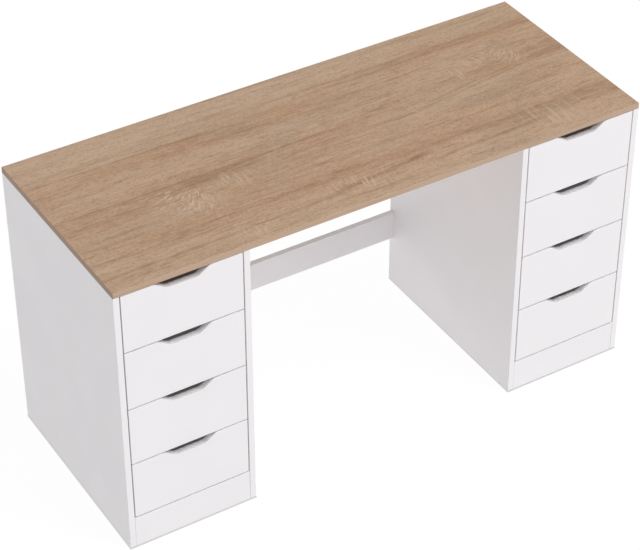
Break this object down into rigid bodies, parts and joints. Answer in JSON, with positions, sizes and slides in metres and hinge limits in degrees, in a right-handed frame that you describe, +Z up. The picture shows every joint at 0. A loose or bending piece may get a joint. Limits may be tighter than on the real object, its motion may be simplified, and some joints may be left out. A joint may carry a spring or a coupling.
{
  "type": "office desk",
  "caption": "White office desk with an oak-decor worktop on drawer pedestals at both ends, finger scoops in the drawer fronts, telescopic slides and a low rear stretcher.",
  "frame": {"origin": "on the floor, under the middle of the worktop", "axes": "+X along the desk to the right as seen from the front, +Y to the back, +Z up"},
  "size_m": [1.4, 0.55, 0.75],
  "materials": {
    "oak_decor": "matt sawn-oak decor",
    "oak_edge": "matt oak edge band",
    "white_board": "smooth matt white",
    "white_foil": "matt white foil",
    "white_hardboard": "white-lacquered hardboard",
    "zinc_steel": "zinc plated",
    "cam_zinc": "bare zinc casting",
    "beech": "raw beech",
    "glide_plastic": "smooth"
  },
  "bodies": {
    "desk": {"worktop": "oak_decor", "worktop_edge_banding": "oak_edge", "left_outer_side": "white_board", "left_inner_side": "white_board", "left_plinth": "white_board", "left_bottom_panel": "white_board", "left_back_panel": "white_hardboard", "right_outer_side": "white_board", "right_inner_side": "white_board", "right_plinth": "white_board", "right_bottom_panel": "white_board", "right_back_panel": "white_hardboard", "rear_stretcher": "white_board", "cabinet_rails": "zinc_steel", "rail_screws": "zinc_steel", "cam_locks": "cam_zinc", "cam_bolts": "zinc_steel", "dowels": "beech", "floor_glides": "glide_plastic"},
    "left_drawer_1": {"left_drawer_1_front": "white_board", "left_drawer_1_box": "white_foil", "left_drawer_1_bottom": "white_hardboard", "left_drawer_1_fittings": "zinc_steel"},
    "left_drawer_1_slides": {"left_drawer_1_middle_rails": "zinc_steel"},
    "left_drawer_2": {"left_drawer_2_front": "white_board", "left_drawer_2_box": "white_foil", "left_drawer_2_bottom": "white_hardboard", "left_drawer_2_fittings": "zinc_steel"},
    "left_drawer_2_slides": {"left_drawer_2_middle_rails": "zinc_steel"},
    "left_drawer_3": {"left_drawer_3_front": "white_board", "left_drawer_3_box": "white_foil", "left_drawer_3_bottom": "white_hardboard", "left_drawer_3_fittings": "zinc_steel"},
    "left_drawer_3_slides": {"left_drawer_3_middle_rails": "zinc_steel"},
    "left_drawer_4": {"left_drawer_4_front": "white_board", "left_drawer_4_box": "white_foil", "left_drawer_4_bottom": "white_hardboard", "left_drawer_4_fittings": "zinc_steel"},
    "left_drawer_4_slides": {"left_drawer_4_middle_rails": "zinc_steel"},
    "right_drawer_1": {"right_drawer_1_front": "white_board", "right_drawer_1_box": "white_foil", "right_drawer_1_bottom": "white_hardboard", "right_drawer_1_fittings": "zinc_steel"},
    "right_drawer_1_slides": {"right_drawer_1_middle_rails": "zinc_steel"},
    "right_drawer_2": {"right_drawer_2_front": "white_board", "right_drawer_2_box": "white_foil", "right_drawer_2_bottom": "white_hardboard", "right_drawer_2_fittings": "zinc_steel"},
    "right_drawer_2_slides": {"right_drawer_2_middle_rails": "zinc_steel"},
    "right_drawer_3": {"right_drawer_3_front": "white_board", "right_drawer_3_box": "white_foil", "right_drawer_3_bottom": "white_hardboard", "right_drawer_3_fittings": "zinc_steel"},
    "right_drawer_3_slides": {"right_drawer_3_middle_rails": "zinc_steel"},
    "right_drawer_4": {"right_drawer_4_front": "white_board", "right_drawer_4_box": "white_foil", "right_drawer_4_bottom": "white_hardboard", "right_drawer_4_fittings": "zinc_steel"},
    "right_drawer_4_slides": {"right_drawer_4_middle_rails": "zinc_steel"}
  },
  "joints": [
    {"name": "left_drawer_1_pull", "type": "slide", "parent": "desk", "child": "left_drawer_1", "axis": [0, -1, 0], "range_m": [0, 0.42]},
    {"name": "left_drawer_1_rail_travel", "type": "slide", "parent": "desk", "child": "left_drawer_1_slides", "axis": [0, -1, 0], "range_m": [0, 0.21]},
    {"name": "left_drawer_2_pull", "type": "slide", "parent": "desk", "child": "left_drawer_2", "axis": [0, -1, 0], "range_m": [0, 0.42]},
    {"name": "left_drawer_2_rail_travel", "type": "slide", "parent": "desk", "child": "left_drawer_2_slides", "axis": [0, -1, 0], "range_m": [0, 0.21]},
    {"name": "left_drawer_3_pull", "type": "slide", "parent": "desk", "child": "left_drawer_3", "axis": [0, -1, 0], "range_m": [0, 0.42]},
    {"name": "left_drawer_3_rail_travel", "type": "slide", "parent": "desk", "child": "left_drawer_3_slides", "axis": [0, -1, 0], "range_m": [0, 0.21]},
    {"name": "left_drawer_4_pull", "type": "slide", "parent": "desk", "child": "left_drawer_4", "axis": [0, -1, 0], "range_m": [0, 0.42]},
    {"name": "left_drawer_4_rail_travel", "type": "slide", "parent": "desk", "child": "left_drawer_4_slides", "axis": [0, -1, 0], "range_m": [0, 0.21]},
    {"name": "right_drawer_1_pull", "type": "slide", "parent": "desk", "child": "right_drawer_1", "axis": [0, -1, 0], "range_m": [0, 0.42]},
    {"name": "right_drawer_1_rail_travel", "type": "slide", "parent": "desk", "child": "right_drawer_1_slides", "axis": [0, -1, 0], "range_m": [0, 0.21]},
    {"name": "right_drawer_2_pull", "type": "slide", "parent": "desk", "child": "right_drawer_2", "axis": [0, -1, 0], "range_m": [0, 0.42]},
    {"name": "right_drawer_2_rail_travel", "type": "slide", "parent": "desk", "child": "right_drawer_2_slides", "axis": [0, -1, 0], "range_m": [0, 0.21]},
    {"name": "right_drawer_3_pull", "type": "slide", "parent": "desk", "child": "right_drawer_3", "axis": [0, -1, 0], "range_m": [0, 0.42]},
    {"name": "right_drawer_3_rail_travel", "type": "slide", "parent": "desk", "child": "right_drawer_3_slides", "axis": [0, -1, 0], "range_m": [0, 0.21]},
    {"name": "right_drawer_4_pull", "type": "slide", "parent": "desk", "child": "right_drawer_4", "axis": [0, -1, 0], "range_m": [0, 0.42]},
    {"name": "right_drawer_4_rail_travel", "type": "slide", "parent": "desk", "child": "right_drawer_4_slides", "axis": [0, -1, 0], "range_m": [0, 0.21]}
  ],
  "couplings": [
    {"joint": "left_drawer_1_rail_travel", "follows": "left_drawer_1_pull", "ratio": 0.5},
    {"joint": "left_drawer_2_rail_travel", "follows": "left_drawer_2_pull", "ratio": 0.5},
    {"joint": "left_drawer_3_rail_travel", "follows": "left_drawer_3_pull", "ratio": 0.5},
    {"joint": "left_drawer_4_rail_travel", "follows": "left_drawer_4_pull", "ratio": 0.5},
    {"joint": "right_drawer_1_rail_travel", "follows": "right_drawer_1_pull", "ratio": 0.5},
    {"joint": "right_drawer_2_rail_travel", "follows": "right_drawer_2_pull", "ratio": 0.5},
    {"joint": "right_drawer_3_rail_travel", "follows": "right_drawer_3_pull", "ratio": 0.5},
    {"joint": "right_drawer_4_rail_travel", "follows": "right_drawer_4_pull", "ratio": 0.5}
  ]
}
